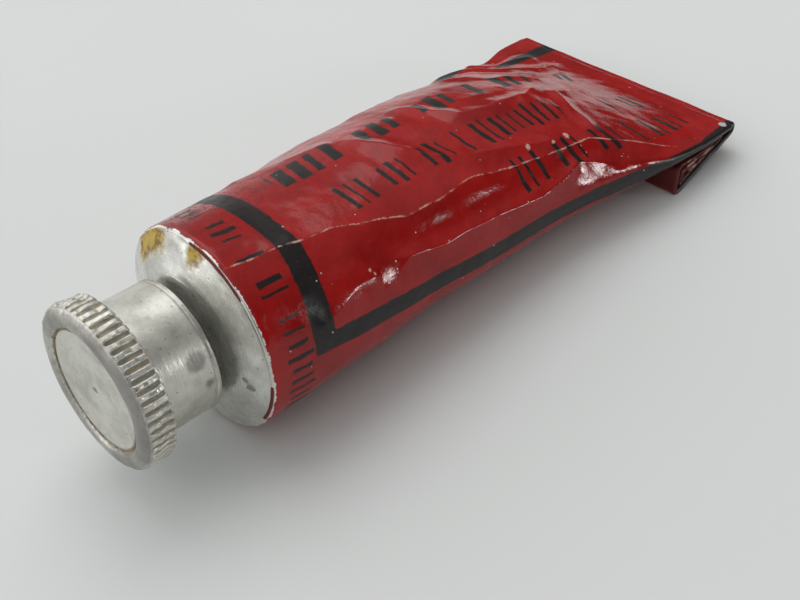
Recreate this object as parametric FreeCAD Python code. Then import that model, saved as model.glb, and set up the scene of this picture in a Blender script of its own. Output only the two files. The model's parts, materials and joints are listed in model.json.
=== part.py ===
"""Collapsible aluminium tube with a screw cap, part used up and lying on its side.

The tube is one impact-extruded piece: a threaded nozzle, a shoulder and a thin sleeve. The sleeve is
round at the shoulder, pressed flat at the tail, and the flat tail is rolled up under itself.
It is split here into nozzle, shoulder, sleeve and tail roll. The cap is a knurled sheet shell with a
crimped top disc, a threaded insert and a sealing disc.

Everything is modelled in the tube's own frame, in millimetres: +X along the axis towards the cap,
x = 0 at the shoulder's rim, +Z up, out of the flat side. lay_down() then leans it on the surface it lies
on, touching at the rim and the roll's foot, with the origin under the middle of its box.
"""

import FreeCAD, Part
from FreeCAD import Placement, Rotation, Vector

import math
import os

# Tube
tube_radius = 9.5
wall = 0.15
tail_x = -60.0            # where the flat sleeve turns into the roll
strip = 0.6               # thickness of the flattened double wall in the roll
paste_gap = 0.25          # the paste has shrunk this far from the wall
paste_tail_x = -44.0

# Sleeve sections: distance behind the rim, heights of crown, widest place and belly, radius of the
# rounded sides, and how far the squeezing has pushed the section sideways
sleeve_stations = [
    (0.0, 9.5, 0.0, -9.5, 9.5, 0.0),
    (8.0, 8.5, 0.1, -8.3, 7.2, -0.4),
    (20.0, 8.6, 0.5, -6.9, 5.8, -0.7),
    (32.0, 8.4, 0.7, -5.3, 4.6, -0.65),
    (40.0, 7.4, 0.8, -4.0, 3.1, -0.5),
    (44.0, 6.4, 0.9, -2.9, 2.1, -0.35),
    (47.5, 5.1, 1.0, -1.1, 1.2, -0.1),
    (50.5, 3.8, 1.1, 0.3, 0.65, 0.0),
    (54.0, 2.6, 1.15, 0.68, 0.42, 0.1),
    (57.0, 1.85, 1.15, 0.8, 0.33, 0.05),
    (-tail_x, 1.45, 1.15, 0.85, 0.29, 0.0),
]

# Tail roll: centreline radii and places
roll_back_radius = 0.6
roll_back_x = -60.5
roll_foot = Vector(-50.95, 0, -2.67)   # centre of the foot's bend
roll_bend = 0.45
roll_top_z = -0.15        # inner layer under the sleeve
roll_inner_x = -55.5      # where the inner layer turns back
roll_end_x = -52.0
foot_press = 0.06         # how far the foot is pressed flat
roll_half_width = 14.75

# Shoulder and nozzle
lip_length = 0.45
lip_radius = 9.28
shoulder_wall = 0.5
neck_x = 2.3
neck_radius = 4.4
neck_fillet_radius = 5.2
bore_radius = 2.5
nozzle_tip_x = 8.1

# Thread
thread_lead = 1.5
thread_height = 0.5
thread_clearance = 0.09
nozzle_thread_start = 3.6
nozzle_thread_turns = 2.4
insert_thread_start = 4.35
insert_thread_turns = 2.2

# Cap
skirt_start_x = 3.0
skirt_radius = 5.97
sheet = 0.3
head_x = 8.2
head_radius = 7.37
head_wall = 0.65
bead_x = 10.65
cap_front_x = 11.15
bead_flat = 0.5           # width of the flat ring on the bead's crest
bead_outer = 0.65         # how far the bead's shoulder rounds in from the knurl
recess_radius = 5.6
recess_depth = 0.35
disc_thickness = 0.4
insert_outer = 5.62
insert_back_x = 3.2
insert_front_x = 10.35
seal_thickness = 0.8
seal_gap = 0.02
flute_count = 52
flute_radius = 0.3
flute_depth = 0.2
flute_margin = 0.12


def lens_arcs(half_width, crown, side, belly, side_radius):
    """Centre height, radius and half angle of the crown arc and the belly arc between the rounded sides."""
    arcs = []
    for height in (crown - side, side - belly):
        reach = half_width - side_radius
        slope = (height - side_radius) / reach if reach > 1e-6 else math.tan(math.pi / 8)
        half_angle = 2 * math.atan(slope)
        radius = side_radius + reach / math.sin(half_angle)
        arcs.append((height - radius, radius, half_angle))
    return arcs


def girth(half_width, crown, side, belly, side_radius):
    arcs = lens_arcs(half_width, crown, side, belly, side_radius)
    lengths = [2 * radius * angle + 2 * side_radius * (math.pi / 2 - angle) for _, radius, angle in arcs]
    return sum(lengths)


def half_width_for(crown, side, belly, side_radius):
    """The sheet doesn't stretch, so every section has the round tube's girth."""
    low, high = max(crown - side, side - belly), math.pi / 2 * tube_radius
    if low >= tube_radius:
        return tube_radius
    for _ in range(50):
        middle = (low + high) / 2
        if girth(middle, crown, side, belly, side_radius) < 2 * math.pi * tube_radius:
            low = middle
        else:
            high = middle
    return low


def section_wire(behind, crown, side, belly, side_radius, push, inset):
    """One section of the sleeve, of four arcs that meet smoothly; an inset makes it smaller all round."""
    half_width = half_width_for(crown, side, belly, side_radius)
    top, bottom = lens_arcs(half_width, crown, side, belly, side_radius)
    side_y = half_width - side_radius
    round_radius = side_radius - inset

    def spot(y, z, radius, angle):
        """A point on an arc about (y, z), by its angle from +Z towards +Y."""
        return Vector(-behind, y + push + radius * math.sin(angle), z + radius * math.cos(angle))

    crown_z = side + top[0]
    belly_z = side - bottom[0]
    crown_r = top[1] - inset
    belly_r = bottom[1] - inset
    upper = [spot(0, crown_z, crown_r, a) for a in (-top[2], 0, top[2])]
    lower = [spot(0, belly_z, belly_r, math.pi + a) for a in (-bottom[2], 0, bottom[2])]
    near = spot(side_y, side, round_radius, math.pi / 2)
    far = spot(-side_y, side, round_radius, -math.pi / 2)
    return Part.Wire([
        Part.Arc(*upper).toShape(),
        Part.Arc(upper[2], near, lower[0]).toShape(),
        Part.Arc(*lower).toShape(),
        Part.Arc(lower[2], far, upper[0]).toShape(),
    ])


def sleeve_solid(inset):
    """The sleeve's outside, or with an inset the room inside it."""
    wires = [section_wire(*station, inset) for station in sleeve_stations]
    return Part.makeLoft(wires, True, False, False, 2)


def revolve(outline):
    """Turns a closed outline of (x, radius) points and arcs about the tube's axis."""
    edges = []
    for start, end, via in outline:
        a, b = Vector(start[0], 0, start[1]), Vector(end[0], 0, end[1])
        if via is None:
            edges.append(Part.LineSegment(a, b).toShape())
        else:
            edges.append(Part.Arc(a, Vector(via[0], 0, via[1]), b).toShape())
    face = Part.Face(Part.Wire(edges))
    return face.revolve(Vector(0, 0, 0), Vector(1, 0, 0), 360)


def polygon(points):
    """An outline of straight sides only, for revolve()."""
    return [(a, b, None) for a, b in zip(points, points[1:] + points[:1])]


def cylinder(radius, start_x, end_x):
    return Part.makeCylinder(radius, end_x - start_x, Vector(start_x, 0, 0), Vector(1, 0, 0))


def thread_ridge(root_radius, rise, start_x, turns, base, crest):
    """A right-hand helical ridge that rises by rise from root_radius, outwards or, if negative, inwards."""
    path = Part.makeHelix(thread_lead, thread_lead * turns, root_radius)
    buried = root_radius - math.copysign(0.1, rise)
    top = root_radius + rise
    corners = [
        Vector(buried, 0, -base / 2),
        Vector(top, 0, -crest / 2),
        Vector(top, 0, crest / 2),
        Vector(buried, 0, base / 2),
    ]
    profile = Part.makePolygon(corners + corners[:1])
    ridge = Part.Wire(path.Edges).makePipeShell([profile], True, True)
    ridge.Placement = Placement(Vector(start_x, 0, 0), Rotation(Vector(0, 1, 0), 90))
    return ridge


def nozzle():
    """Threaded neck with the bore that the paste leaves by."""
    neck = cylinder(neck_radius, neck_x, nozzle_tip_x)
    ridge = thread_ridge(neck_radius, thread_height, nozzle_thread_start, nozzle_thread_turns, 0.7, 0.3)
    bore = cylinder(bore_radius, neck_x - 1, nozzle_tip_x + 1)
    return neck.fuse(ridge).cut(bore)


def shoulder():
    """Shallow cone from the rim to the neck."""
    inner_rim = tube_radius - wall
    slope_x = neck_x - 0.45
    return revolve([
        ((0, bore_radius), (0, inner_rim), None),
        ((0, inner_rim), (0, tube_radius - 0.02), None),
        ((0, tube_radius - 0.02), (lip_length, lip_radius), (lip_length * 0.8, tube_radius - 0.08)),
        ((lip_length, lip_radius), (slope_x, neck_fillet_radius), (1.35, 7.4)),
        ((slope_x, neck_fillet_radius), (neck_x, neck_radius), (neck_x - 0.1, neck_radius + 0.3)),
        ((neck_x, neck_radius), (neck_x, bore_radius), None),
        ((neck_x, bore_radius), (0, bore_radius), None),
    ]).cut(shoulder_room())


def shoulder_room():
    """The conical space under the shoulder."""
    return revolve(polygon([
        (-0.5, 0),
        (-0.5, tube_radius - wall),
        (0, tube_radius - wall),
        (neck_x - 2 * shoulder_wall, bore_radius + 1.2),
        (neck_x - shoulder_wall, bore_radius),
        (neck_x - shoulder_wall, 0),
    ]))


def sleeve():
    """The thin red sleeve, open at the shoulder and flat at the tail."""
    return sleeve_solid(0).cut(sleeve_solid(wall))


def tail_roll():
    """The flat tail rolled under: back bend, bottom layer, foot, front face and two inner layers."""
    top_z = sleeve_stations[-1][2]
    back = Vector(roll_back_x, 0, top_z - roll_back_radius)
    fall = math.atan2(back.z - roll_back_radius - (roll_foot.z - roll_bend), roll_foot.x - back.x)
    down = Vector(math.sin(fall), 0, math.cos(fall))

    def arc(centre, radius, start, end):
        """An arc in the XZ plane by its angles from +X, in degrees."""
        spots = [math.radians(a) for a in (start, (start + end) / 2, end)]
        return [centre + Vector(radius * math.cos(a), 0, radius * math.sin(a)) for a in spots]

    tilt = math.degrees(fall)
    inner_fold = Vector(roll_inner_x, 0, roll_top_z + 0.12 - roll_bend)
    runs = [
        arc(back, roll_back_radius, 90, 270 - tilt),
        arc(roll_foot, roll_bend, 270 - tilt, 360),
        arc(Vector(roll_foot.x, 0, roll_top_z - roll_bend), roll_bend, 0, 90),
        arc(inner_fold, roll_bend, 90, 270 - tilt),
    ]
    last = runs[-1][2]
    reach = roll_end_x - last.x
    corners = [Vector(tail_x + 1, 0, top_z)]
    edges = []
    here = corners[0]
    for start, via, end in runs:
        edges.append(Part.LineSegment(here, start).toShape())
        edges.append(Part.Arc(start, via, end).toShape())
        here = end
    edges.append(Part.LineSegment(here, here + Vector(reach, 0, -reach * down.x / down.z)).toShape())
    outline = Part.Wire(edges).makeOffset2D(strip / 2, 0, True, False)
    roll = outline.extrude(Vector(0, 2 * roll_half_width, 0))
    roll.translate(Vector(0, -roll_half_width, 0))
    in_sleeve = Part.makeBox(5, 40, 2, Vector(tail_x, -20, top_z - strip / 2 - 0.1))
    return roll.cut(in_sleeve)


def paste():
    """What is left of the contents, from the flattened part up to the nozzle's tip."""
    gap = paste_gap
    kept = Part.makeBox(-paste_tail_x, 40, 40, Vector(paste_tail_x, -20, -20))
    body = sleeve_solid(wall + gap).common(kept)
    front = revolve(polygon([
        (0, 0),
        (0, tube_radius - wall - gap),
        (neck_x - 2 * shoulder_wall - gap, bore_radius + 1.2),
        (neck_x - shoulder_wall - gap, bore_radius - gap),
        (nozzle_tip_x - 0.3, bore_radius - gap),
        (nozzle_tip_x - 0.3, 0),
    ]))
    return body.fuse(front).removeSplitter()


def cap_shell():
    """Drawn sheet shell: plain skirt, knurled head and a rolled bead round the recess."""
    crest_out = head_radius - bead_outer
    crest_in = crest_out - bead_flat
    floor_x = cap_front_x - recess_depth
    inner_front = floor_x - disc_thickness
    head_inner = head_radius - head_wall
    skirt_inner = skirt_radius - sheet
    middle_in = (recess_radius + crest_in) / 2
    shell = revolve([
        ((skirt_start_x, skirt_inner), (skirt_start_x, skirt_radius), None),
        ((skirt_start_x, skirt_radius), (head_x, skirt_radius), None),
        ((head_x, skirt_radius), (head_x, head_radius - 0.15), None),
        ((head_x, head_radius - 0.15), (head_x + 0.15, head_radius), (head_x + 0.045, head_radius - 0.045)),
        ((head_x + 0.15, head_radius), (bead_x, head_radius), None),
        ((bead_x, head_radius), (cap_front_x, crest_out), (cap_front_x - 0.22, head_radius - 0.17)),
        ((cap_front_x, crest_out), (cap_front_x, crest_in), None),
        ((cap_front_x, crest_in), (floor_x, recess_radius), (cap_front_x - 0.1, middle_in - 0.12)),
        ((floor_x, recess_radius), (inner_front, recess_radius), None),
        ((inner_front, recess_radius), (inner_front, head_inner), None),
        ((inner_front, head_inner), (head_x + sheet, head_inner), None),
        ((head_x + sheet, head_inner), (head_x + sheet, skirt_inner), None),
        ((head_x + sheet, skirt_inner), (skirt_start_x, skirt_inner), None),
    ])
    flutes = []
    start = head_x + flute_margin
    end = bead_x - flute_margin
    for i in range(flute_count):
        angle = 2 * math.pi * i / flute_count
        reach = head_radius + flute_radius - flute_depth
        foot = Vector(start, reach * math.cos(angle), reach * math.sin(angle))
        flutes.append(Part.makeCylinder(flute_radius, end - start, foot, Vector(1, 0, 0)))
    return shell.cut(Part.makeCompound(flutes))


def cap_top_disc():
    """The flat disc that the bead holds in the head."""
    floor_x = cap_front_x - recess_depth
    disc = cylinder(recess_radius, floor_x - disc_thickness, floor_x)
    dimple = Part.makeSphere(0.5, Vector(floor_x + 0.4, 0, 0))
    return disc.cut(dimple)


def cap_thread_insert():
    """Cup with the internal thread, closed under the head."""
    root = neck_radius + thread_height + thread_clearance
    cup = cylinder(insert_outer, insert_back_x, insert_front_x)
    room = cylinder(root, insert_back_x - 1, nozzle_tip_x + seal_gap + seal_thickness + seal_gap)
    ridge = thread_ridge(root, -thread_height, insert_thread_start, insert_thread_turns, 0.6, 0.25)
    return cup.cut(room).fuse(ridge)


def cap_seal_disc():
    """Waxed card disc that closes the nozzle's tip."""
    start = nozzle_tip_x + seal_gap
    radius = neck_radius + thread_height
    return cylinder(radius, start, start + seal_thickness)


def lean_angle():
    """How far the axis rises towards the cap when the rim and the roll's foot both touch the surface."""
    reach = roll_bend + strip / 2 - foot_press
    rise = roll_foot.z + tube_radius
    return math.acos(reach / math.hypot(rise, roll_foot.x)) - math.atan2(-roll_foot.x, rise)


def lay_down(shapes):
    """Leans the tube on its surface and puts the origin under the middle of its box."""
    lean = lean_angle()
    turn = Placement(Vector(0, 0, 0), Rotation(Vector(0, 1, 0), -math.degrees(lean)))
    for shape in shapes.values():
        shape.transformShape(turn.toMatrix())
    whole = Part.makeCompound(list(shapes.values())).optimalBoundingBox()
    floor_z = -tube_radius * math.cos(lean)
    shift = Vector(-(whole.XMin + whole.XMax) / 2, 0, -floor_z)
    for shape in shapes.values():
        shape.translate(shift)
    below = Part.makeBox(200, 100, 5, Vector(-100, -50, -5))
    shapes["tail_roll"] = shapes["tail_roll"].cut(below)
    return lean, shift


def main():
    os.makedirs("parts", exist_ok=True)
    shapes = {
        "nozzle": nozzle(),
        "shoulder": shoulder(),
        "sleeve": sleeve(),
        "tail_roll": tail_roll(),
        "paste": paste(),
        "cap_shell": cap_shell(),
        "cap_top_disc": cap_top_disc(),
        "cap_thread_insert": cap_thread_insert(),
        "cap_seal_disc": cap_seal_disc(),
    }
    lean, shift = lay_down(shapes)
    for name, shape in shapes.items():
        print(f"{name}: {len(shape.Solids)} solid, valid {shape.isValid()}, volume {shape.Volume:.2f}")
        shape.exportStep(f"parts/{name}.step")
    print(f"lean {math.degrees(lean):.4f} degrees, shift {shift.x:.4f} {shift.z:.4f}")


main()
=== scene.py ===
import json
import math

import bpy
import numpy as np
from mathutils import Matrix, Vector


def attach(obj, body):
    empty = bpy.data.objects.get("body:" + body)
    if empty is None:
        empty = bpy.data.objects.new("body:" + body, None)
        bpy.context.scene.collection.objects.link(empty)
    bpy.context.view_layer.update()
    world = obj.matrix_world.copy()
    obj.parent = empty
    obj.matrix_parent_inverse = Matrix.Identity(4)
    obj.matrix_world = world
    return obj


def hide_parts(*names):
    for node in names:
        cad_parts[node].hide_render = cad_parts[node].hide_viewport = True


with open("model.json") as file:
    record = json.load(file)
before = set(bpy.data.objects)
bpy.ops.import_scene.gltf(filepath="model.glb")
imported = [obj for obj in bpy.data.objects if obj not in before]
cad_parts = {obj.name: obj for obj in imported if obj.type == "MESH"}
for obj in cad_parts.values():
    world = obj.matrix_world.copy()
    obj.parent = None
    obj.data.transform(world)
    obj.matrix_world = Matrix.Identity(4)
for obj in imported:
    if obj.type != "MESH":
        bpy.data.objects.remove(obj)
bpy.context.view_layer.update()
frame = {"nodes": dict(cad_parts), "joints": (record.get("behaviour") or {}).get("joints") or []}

# The tube's own frame: millimetres, +X along its axis towards the cap, x = 0 at the sleeve's rim.
# The cap's hinge says where that axis lies in the row frame.
TURN = next(joint for joint in frame["joints"] if joint["type"] == "hinge")
AXIS = Vector(TURN["axis"])
JOINT_X = 6.0             # where on the axis the hinge is given
RIM = Vector(TURN["pos_m"]) - AXIS * JOINT_X / 1000

TUBE_R = 9.5
WALL = 0.15
TAIL = 60.0               # length of the sleeve, rim to roll
GIRTH = 2 * math.pi * TUBE_R
CLOUD_SPAN = 64           # length of sleeve that one cloud of random waves covers
UV_MM = 100               # length that one unit of the print's coordinates stands for

# Sleeve sections: distance behind the rim, heights of crown, widest place and belly, radius of the
# rounded sides, sideways push
STATIONS = np.array([
    (0.0, 9.5, 0.0, -9.5, 9.5, 0.0),
    (8.0, 8.5, 0.1, -8.3, 7.2, -0.4),
    (20.0, 8.6, 0.5, -6.9, 5.8, -0.7),
    (32.0, 8.4, 0.7, -5.3, 4.6, -0.65),
    (40.0, 7.4, 0.8, -4.0, 3.1, -0.5),
    (44.0, 6.4, 0.9, -2.9, 2.1, -0.35),
    (47.5, 5.1, 1.0, -1.1, 1.2, -0.1),
    (50.5, 3.8, 1.1, 0.3, 0.65, 0.0),
    (54.0, 2.6, 1.15, 0.68, 0.42, 0.1),
    (57.0, 1.85, 1.15, 0.8, 0.33, 0.05),
    (60.0, 1.45, 1.15, 0.85, 0.29, 0.0),
])


def placed(x, y, z):
    """Points of the tube's frame, in mm, as row-frame metres."""
    x, y, z = np.broadcast_arrays(x, y, z)
    return np.stack([
        RIM.x + (x * AXIS.x - z * AXIS.z) / 1000,
        RIM.y + y / 1000,
        RIM.z + (x * AXIS.z + z * AXIS.x) / 1000,
    ], axis=-1)


def smooth_step(value, low, high):
    """0 below low, 1 above high, smooth between."""
    t = np.clip((value - low) / (high - low), 0, 1)
    return t * t * (3 - 2 * t)


def cubic(at, xs, ys):
    """Cubic interpolation of ys over xs that doesn't swing past the given points."""
    slopes = np.gradient(ys, xs)
    steps = np.diff(ys) / np.diff(xs)
    for i in range(1, len(xs) - 1):
        if steps[i - 1] * steps[i] <= 0:
            slopes[i] = 0
        else:
            limit = 3 * min(abs(steps[i - 1]), abs(steps[i]))
            slopes[i] = np.clip(slopes[i], -limit, limit)
    k = np.clip(np.searchsorted(xs, at) - 1, 0, len(xs) - 2)
    h = xs[k + 1] - xs[k]
    t = np.clip((at - xs[k]) / h, 0, 1)
    return ((1 + 2 * t) * (1 - t) ** 2 * ys[k] + t * (1 - t) ** 2 * h * slopes[k]
            + t * t * (3 - 2 * t) * ys[k + 1] + t * t * (t - 1) * h * slopes[k + 1])


def cloud(u, v, cells_u, cells_v, seed):
    """Smooth noise from -1 to 1 over u and v in 0..1, repeating in v."""
    grid = np.random.RandomState(seed).uniform(-1, 1, (cells_u + 3, cells_v))
    a = np.clip(u, 0, 1) * cells_u
    b = (v % 1) * cells_v
    i, j = np.floor(a).astype(int), np.floor(b).astype(int)
    fa, fb = a - i, b - j
    wa, wb = fa * fa * (3 - 2 * fa), fb * fb * (3 - 2 * fb)
    j, j2 = j % cells_v, (j + 1) % cells_v
    near = grid[i, j] * (1 - wb) + grid[i, j2] * wb
    far = grid[i + 1, j] * (1 - wb) + grid[i + 1, j2] * wb
    return near * (1 - wa) + far * wa


def line_distance(x, y, points):
    """Distance to a polyline and how far along it the nearest point is, from 0 to 1."""
    points = np.array(points, float)
    lengths = np.hypot(*np.diff(points, axis=0).T)
    total = lengths.sum()
    best = np.full(np.broadcast(x, y).shape, 1e9)
    along = np.zeros_like(best)
    done = 0.0
    for (ax, ay), (bx, by), length in zip(points[:-1], points[1:], lengths):
        t = np.clip(((x - ax) * (bx - ax) + (y - ay) * (by - ay)) / length ** 2, 0, 1)
        d = np.hypot(x - ax - t * (bx - ax), y - ay - t * (by - ay))
        nearer = d < best
        best = np.where(nearer, d, best)
        along = np.where(nearer, (done + t * length) / total, along)
        done += length
    return best, along


# Creases of the sleeve: points as (behind the rim, girth from the crown towards +Y), height, reach of
# the slope beside it. The first one is the ridge with the hair crack.
CREASES = [
    ([(-1, 4.2), (5, 4.7), (10, 5.3), (13, 6.4), (17, 7.8), (21, 8.2), (26, 7.9), (31, 9.0), (37, 9.5),
      (41, 9.5), (45, 11.0), (51, 13.4)], 0.42, 2.3),
    ([(12.5, 9.8), (15, 10.8), (18.2, 11.5), (25.8, 11.9), (31.8, 12.6), (36, 12.1), (38, 11.3),
      (43, 13.2)], 0.34, 0.9),
    ([(19, -4), (20, -1), (21.5, 1.5), (24, 4.2), (27, 5.8), (31, 6.8), (36, 8.2), (40, 9.2)], 0.36, 1.1),
    ([(27, -6), (29, -1), (31, 1.5), (34, 2.2), (40, 2.0), (44, 0.5)], 0.38, 1.0),
    ([(42.5, 9.5), (43.5, 5.5), (44.5, 2.5), (47.4, 1.8), (52, 1.5)], 0.30, 0.8),
    ([(38, 2.5), (41, 4.5), (43.3, 6.0)], 0.25, 1.2),
    ([(36, -9), (41, -4), (46, -1.5), (50, -2.5), (56, -5.5)], 0.26, 1.0),
    ([(40, -13), (46, -8), (52, -6.5), (58, -7)], 0.35, 0.9),
    ([(48, -15), (52, -11.5), (57, -10)], 0.3, 1.2),
    ([(14, -12), (20, -9), (27, -8.5), (36, -11)], 0.35, 2.2),
    ([(8, -7), (13, -6), (19, -4)], 0.2, 1.8),
    ([(4, 12), (9, 10.5), (12, 10.6)], 0.14, 1.3),
    ([(10, 20), (20, 23), (32, 22), (44, 19)], 0.3, 2.4),
    ([(6, -20), (18, -22), (30, -20), (42, -17)], 0.35, 2.4),
    ([(16, 27), (24, 25), (34, 27), (42, 26)], 0.25, 2.0),
    ([(20, -28), (30, -26), (40, -24), (48, -20)], 0.25, 2.0),
]

# Dents: behind the rim, girth, length along, width across, turn in degrees, depth
DENTS = [
    (11.5, 9.4, 1.0, 0.45, 60, 0.10),
    (33.5, 4.6, 4.5, 1.6, 12, 0.30),
    (24.0, 0.8, 3.5, 1.8, 50, 0.06),
    (38.5, 5.6, 3.0, 1.4, 35, 0.26),
    (36.0, -2.5, 4.0, 1.7, -12, 0.34),
    (47.0, 5.5, 2.6, 3.0, 0, 0.22),
    (44.0, -6.0, 5.0, 1.6, -25, 0.36),
    (50.5, -12.5, 3.0, 1.6, -20, 0.40),
    (30.0, -14.0, 5.0, 2.2, -8, 0.40),
    (15.0, 1.5, 3.0, 2.2, 20, 0.12),
    (25.0, 10.6, 7.0, 1.6, 2, 0.16),
    (18.0, 18.5, 6.0, 2.5, 5, 0.25),
    (38.0, 17.5, 5.0, 2.0, -5, 0.22),
    (9.0, -13.0, 4.0, 2.6, 15, 0.3),
]


def wandered(behind, girth):
    """The same place moved about a little, which makes the creases waver."""
    wander = 0.35 * cloud(behind / CLOUD_SPAN, girth / GIRTH + 0.5, 26, 24, 5)
    return behind + wander, girth + 0.6 * wander


def relief(behind, girth):
    """How far the crumpled sleeve stands off its smooth shape, in mm, outwards positive."""
    total = np.zeros(np.broadcast(behind, girth).shape)
    moved = wandered(behind, girth)
    for points, height, reach in CREASES:
        d, along = line_distance(*moved, points)
        ends = smooth_step(along, 0, 0.12) * smooth_step(1 - along, 0, 0.12)
        slope = np.exp(-d / reach) - 0.25 * np.exp(-((d - 1.6 * reach) / reach) ** 2)
        total += height * ends * slope
    for x, g, length, width, angle, depth in DENTS:
        c, s = math.cos(math.radians(angle)), math.sin(math.radians(angle))
        p = ((behind - x) * c + (girth - g) * s) / length
        q = ((girth - g) * c - (behind - x) * s) / width
        total -= depth * np.exp(-p * p - q * q)
    u, v = behind / CLOUD_SPAN, girth / GIRTH + 0.5
    total += 0.10 * cloud(u, v, 9, 9, 11) + 0.065 * cloud(u, v, 22, 20, 12)
    total += 0.028 * cloud(u, v, 60, 60, 13)
    calm = smooth_step(behind, 0.0, 6.0) * (1 - 0.75 * smooth_step(behind, 54, 60))
    # The contents fill the sleeve up to about 44 mm, so a dent there has less room to sink.
    room = 0.23 + 0.25 * smooth_step(behind, 44.5, 48)
    return np.where(total < 0, -room * np.tanh(-total / room), total) * calm


def arcs(half_width, crown, side, belly, radius):
    """Centre drop, radius and half angle of the crown arc and the belly arc."""
    found = []
    for height in (crown - side, side - belly):
        reach = np.maximum(half_width - radius, 1e-9)
        half_angle = 2 * np.arctan((height - radius) / reach)
        half_angle = np.where(half_width - radius < 1e-6, math.pi / 4, half_angle)
        big = radius + np.where(half_width - radius < 1e-6, 0, reach / np.sin(half_angle))
        found.append((height - big, big, half_angle))
    return found


def sleeve_points(behind, girth, lift):
    """Where a point of the sheet lies, lift off the smooth shape: behind is a column, girth a row, in mm."""
    crown, side, belly, radius, push = (cubic(behind, STATIONS[:, 0], STATIONS[:, k]) for k in range(1, 6))
    radius = np.minimum(radius, np.minimum(crown - side, side - belly) * (1 - 1e-4) + 1e-4 * (behind <= 0))
    # The width is found by halving, so that every section has the girth of the round end.
    low = np.maximum(crown - side, side - belly)
    high = np.full_like(low, math.pi / 2 * TUBE_R)
    for _ in range(40):
        middle = (low + high) / 2
        lengths = sum(2 * big * a + 2 * radius * (math.pi / 2 - a)
                      for _, big, a in arcs(middle, crown, side, belly, radius))
        low = np.where(lengths < GIRTH, middle, low)
        high = np.where(lengths < GIRTH, high, middle)
    half_width = low
    (top_drop, top_r, top_a), (low_drop, low_r, low_a) = arcs(half_width, crown, side, belly, radius)
    first = top_r * top_a
    second = first + radius * (math.pi - top_a - low_a)
    whole = second + low_r * low_a
    run = np.abs(girth) * whole / (GIRTH / 2)
    on_top, on_side = run < first, run < second
    angle = np.where(on_top, run / top_r, np.where(on_side, top_a + (run - first) / radius,
                                                  math.pi - low_a + (run - second) / low_r))
    r = np.where(on_top, top_r, np.where(on_side, radius, low_r))
    centre_y = np.where(~on_top & on_side, half_width - radius, 0)
    centre_z = side + np.where(on_top, top_drop, np.where(on_side, 0, -low_drop))
    sign = np.where(girth < 0, -1, 1)
    grown = r + lift
    y = push + sign * (centre_y + grown * np.sin(angle))
    z = centre_z + grown * np.cos(angle)
    return y, z


def grid_mesh(name, points, uvs=None, wrap=True, loop=False, close_start=False, close_end=False, marks=None):
    """A mesh from rows of points (rows, columns, 3).

    It is joined round the columns if wrap and round the rows if loop; uvs are (u of each row, v of each
    column), and marks are numbers kept on the points by name.
    """
    rows, columns = points.shape[:2]
    verts = points.reshape(-1, 3)
    row_starts = np.arange(rows if loop else rows - 1)
    column_starts = np.arange(columns if wrap else columns - 1)
    r, c = np.meshgrid(row_starts, column_starts, indexing="ij")
    r2, c2 = (r + 1) % rows, (c + 1) % columns
    faces = np.stack([r * columns + c, r * columns + c2, r2 * columns + c2, r2 * columns + c], -1)
    faces = faces.reshape(-1, 4)
    extra = []
    if close_start:
        extra.append(list(range(columns - 1, -1, -1)))
    if close_end:
        extra.append([(rows - 1) * columns + k for k in range(columns)])
    mesh = bpy.data.meshes.new(name)
    mesh.from_pydata(verts.tolist(), [], faces.tolist() + extra)
    if uvs is not None:
        u, v = uvs
        layer = mesh.uv_layers.new(name="print")
        corner_u = np.stack([u[r], u[r], u[r2], u[r2]], -1).reshape(-1)
        v_next = np.append(v, v[-1] + (v[1] - v[0]))
        corner_v = np.stack([v_next[c], v_next[c + 1], v_next[c + 1], v_next[c]], -1).reshape(-1)
        data = np.zeros((len(layer.data), 2))
        data[:len(corner_u)] = np.stack([corner_u, corner_v], -1)
        layer.data.foreach_set("uv", data.reshape(-1))
    for mark, values in (marks or {}).items():
        attribute = mesh.attributes.new(mark, "FLOAT", "POINT")
        values = np.broadcast_to(values, (rows, columns)).reshape(-1)
        attribute.data.foreach_set("value", values.astype(np.float32))
    mesh.polygons.foreach_set("use_smooth", [True] * len(mesh.polygons))
    mesh.update()
    piece = bpy.data.objects.new(name, mesh)
    bpy.context.scene.collection.objects.link(piece)
    return piece


def make_sleeve():
    """The printed sleeve: a crumpled sheet with its rim turned in over the shoulder's edge."""
    columns = 420
    pinch, pinch_at = 0.75, 51.5     # how far the far edge is drawn in ahead of the roll, and where
    rim_reach, rim_tuck = 0.5, 0.30  # how far ahead the rim's rounding reaches, and how far in
    rounding = [-0.42, -0.38, -0.32, -0.24, -0.14, -0.06]
    behind = np.concatenate([rounding, np.linspace(0, TAIL, 340)])[:, None]
    girth = (np.arange(columns) / columns - 0.5)[None, :] * GIRTH
    there = np.maximum(behind, 0)
    y, z = sleeve_points(there, girth, relief(there, girth))
    pinched = pinch * np.exp(-((behind - pinch_at) / 3.0) ** 2) * smooth_step(-y, 8, 13)
    rim = np.sqrt(np.clip(1 - (np.clip(-behind, 0, rim_reach) / rim_reach) ** 2, 0, 1))
    shrink = 1 - rim_tuck * (1 - rim) / TUBE_R
    points = placed(-behind, (y + pinched) * shrink, z * shrink)
    near_crease = line_distance(*wandered(behind, girth), CREASES[0][0])[0]
    piece = grid_mesh("sleeve_skin", points, (behind[:, 0] / UV_MM, girth[0] / UV_MM + 0.5),
                      marks={"crease": np.minimum(near_crease, 4)})
    thick = piece.modifiers.new("wall", "SOLIDIFY")
    thick.thickness = WALL / 1000
    thick.offset = -1
    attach(piece, "tube")
    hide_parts("sleeve")
    return piece


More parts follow.
